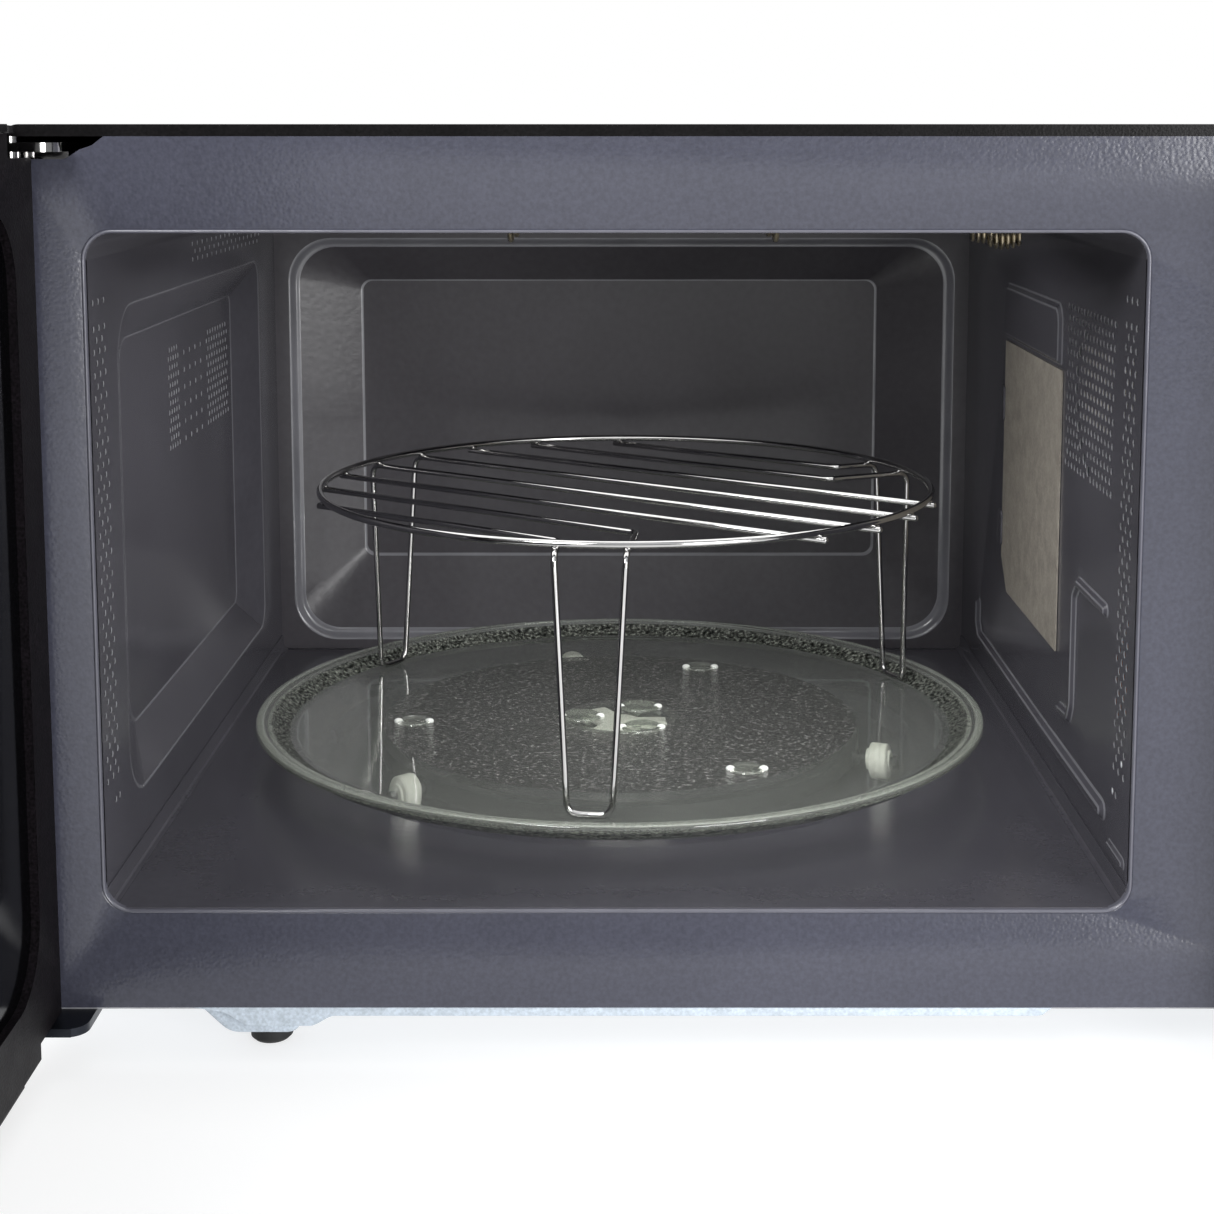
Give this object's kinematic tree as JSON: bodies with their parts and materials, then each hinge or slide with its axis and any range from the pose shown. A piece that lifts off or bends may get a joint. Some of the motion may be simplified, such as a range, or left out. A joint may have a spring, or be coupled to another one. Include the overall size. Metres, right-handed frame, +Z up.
{
  "type": "microwave oven",
  "caption": "Countertop microwave oven with grill: side-hinged door held open, grey cavity, glass turntable on rollers, wire rack, control panel.",
  "frame": {"origin": "centre of the rectangle of the four feet, on the surface that the oven stands on", "axes": "+Z up, the front with its door and controls faces -Y, +X to the right seen from the front"},
  "size_m": [0.5445, 0.8356, 0.326],
  "materials": {
    "case_black": "satin black powder coat",
    "galvanised": "galvanised sheet",
    "grey_enamel": "semi-gloss grey paint with fine orange peel",
    "cavity_enamel": "dark grey gloss enamel",
    "mica": "pressed mica sheet",
    "steel": "plain steel",
    "chrome": "polished",
    "black_plastic": "fine moulded texture",
    "gloss_black": "gloss",
    "black_glass": "black tinted glass",
    "film": "gloss black inner panel",
    "tray_glass": "clear soda-lime glass with stippled texture",
    "white_plastic": "satin",
    "grey_plastic": "satin",
    "rubber": "matt",
    "copper": "varnished copper wire",
    "board": "circuit board",
    "ceramic": "matt ceramic",
    "quartz": "quartz tube",
    "aluminium": "plain",
    "brassy_wire": "heat-tinted steel wire"
  },
  "bodies": {
    "oven": {"outer_case": "case_black", "rear_panel": "galvanised", "base_plate": "galvanised", "feet": "rubber", "front_frame": "grey_enamel", "cavity_wrap": "cavity_enamel", "cavity_back": "cavity_enamel", "cavity_floor": "cavity_enamel", "mica_cover": "mica", "waveguide": "galvanised", "magnetron": "aluminium", "transformer_core": "steel", "transformer_coils": "copper", "capacitor": "aluminium", "capacitor_clamp": "steel", "diode": "black_plastic", "fan_motor": "steel", "fan_shroud": "black_plastic", "noise_filter": "board", "control_panel": "gloss_black", "display_window": "black_glass", "control_board": "board", "latch_board": "white_plastic", "microswitches": "black_plastic", "oven_lamp": "ceramic", "turntable_motor": "steel", "grill_tubes": "quartz", "grill_reflector": "steel", "grill_supports": "brassy_wire", "thermal_cutouts": "ceramic", "hinge_upper": "chrome", "hinge_lower": "steel", "case_screws": "steel", "cord_gland": "black_plastic"},
    "door": {"door_frame": "black_plastic", "door_glass": "black_glass", "door_choke": "cavity_enamel", "choke_cover": "black_plastic", "door_film": "film", "hinge_pins": "chrome"},
    "latch": {"latch_hook": "white_plastic"},
    "button": {"door_button": "gloss_black"},
    "lever": {"release_lever": "white_plastic"},
    "key_1": {"key_1": "grey_plastic"},
    "key_2": {"key_2": "grey_plastic"},
    "key_3": {"key_3": "grey_plastic"},
    "key_4": {"key_4": "grey_plastic"},
    "key_5": {"key_5": "grey_plastic"},
    "key_6": {"key_6": "grey_plastic"},
    "dial": {"dial": "aluminium"},
    "coupler": {"drive_coupler": "white_plastic"},
    "tray": {"glass_tray": "tray_glass"},
    "rack": {"wire_rack": "chrome", "rack_legs": "chrome"},
    "ring": {"roller_ring": "grey_plastic"},
    "roller_1": {"roller_1": "white_plastic"},
    "roller_2": {"roller_2": "white_plastic"},
    "roller_3": {"roller_3": "white_plastic"},
    "fan": {"fan_blade": "white_plastic"}
  },
  "joints": [
    {"name": "door_hinge", "type": "hinge", "parent": "oven", "child": "door", "pos_m": [-0.2549, -0.2072, 0.17], "axis": [0, 0, 1], "range_deg": [-8, 90]},
    {"name": "latch_slide", "type": "slide", "parent": "door", "child": "latch", "axis": [0, 0, -1], "range_m": [0, 0.005], "stiffness_N_per_m": 500, "springref_m": -0.004},
    {"name": "button_slide", "type": "slide", "parent": "oven", "child": "button", "axis": [0, 1, 0], "range_m": [0, 0.005], "stiffness_N_per_m": 500, "springref_m": -0.003},
    {"name": "lever_pivot", "type": "hinge", "parent": "oven", "child": "lever", "pos_m": [0.185, -0.186, 0.06], "axis": [1, 0, 0], "range_deg": [0, 17.5]},
    {"name": "key_1_slide", "type": "slide", "parent": "oven", "child": "key_1", "axis": [0, 1, 0], "range_m": [0, 0.001], "stiffness_N_per_m": 800, "springref_m": -0.0006},
    {"name": "key_2_slide", "type": "slide", "parent": "oven", "child": "key_2", "axis": [0, 1, 0], "range_m": [0, 0.001], "stiffness_N_per_m": 800, "springref_m": -0.0006},
    {"name": "key_3_slide", "type": "slide", "parent": "oven", "child": "key_3", "axis": [0, 1, 0], "range_m": [0, 0.001], "stiffness_N_per_m": 800, "springref_m": -0.0006},
    {"name": "key_4_slide", "type": "slide", "parent": "oven", "child": "key_4", "axis": [0, 1, 0], "range_m": [0, 0.001], "stiffness_N_per_m": 800, "springref_m": -0.0006},
    {"name": "key_5_slide", "type": "slide", "parent": "oven", "child": "key_5", "axis": [0, 1, 0], "range_m": [0, 0.001], "stiffness_N_per_m": 800, "springref_m": -0.0006},
    {"name": "key_6_slide", "type": "slide", "parent": "oven", "child": "key_6", "axis": [0, 1, 0], "range_m": [0, 0.001], "stiffness_N_per_m": 800, "springref_m": -0.0006},
    {"name": "dial_turn", "type": "hinge", "parent": "oven", "child": "dial", "pos_m": [0.21275, -0.2448, 0.132], "axis": [0, -1, 0], "continuous": true},
    {"name": "coupler_spin", "type": "hinge", "parent": "oven", "child": "coupler", "pos_m": [-0.0565, -0.0095, 0.056], "axis": [0, 0, 1], "continuous": true},
    {"name": "tray_lift", "type": "slide", "parent": "coupler", "child": "tray", "axis": [0, 0, 1], "range_m": [0, 0.012]},
    {"name": "rack_lift", "type": "slide", "parent": "tray", "child": "rack", "axis": [0, 0, 1], "range_m": [0, 0.04]},
    {"name": "ring_spin", "type": "hinge", "parent": "oven", "child": "ring", "pos_m": [-0.0565, -0.0095, 0.056], "axis": [0, 0, 1], "continuous": true},
    {"name": "roller_1_spin", "type": "hinge", "parent": "ring", "child": "roller_1", "pos_m": [-0.14196, -0.08645, 0.05725], "axis": [-0.7431, -0.6691, 0], "continuous": true},
    {"name": "roller_2_spin", "type": "hinge", "parent": "ring", "child": "roller_2", "pos_m": [0.05287, -0.04504, 0.05725], "axis": [0.9511, -0.309, 0], "continuous": true},
    {"name": "roller_3_spin", "type": "hinge", "parent": "ring", "child": "roller_3", "pos_m": [-0.08041, 0.10299, 0.05725], "axis": [-0.2079, 0.9781, 0], "continuous": true},
    {"name": "fan_spin", "type": "hinge", "parent": "oven", "child": "fan", "pos_m": [0.192, 0.165, 0.19], "axis": [0, 1, 0], "continuous": true}
  ],
  "couplings": [
    {"joint": "lever_pivot", "follows": "button_slide", "rad_per_m": 60},
    {"joint": "ring_spin", "follows": "coupler_spin", "ratio": 0.5},
    {"joint": "roller_1_spin", "follows": "coupler_spin", "ratio": -8.7121},
    {"joint": "roller_2_spin", "follows": "coupler_spin", "ratio": -8.7121},
    {"joint": "roller_3_spin", "follows": "coupler_spin", "ratio": -8.7121}
  ]
}
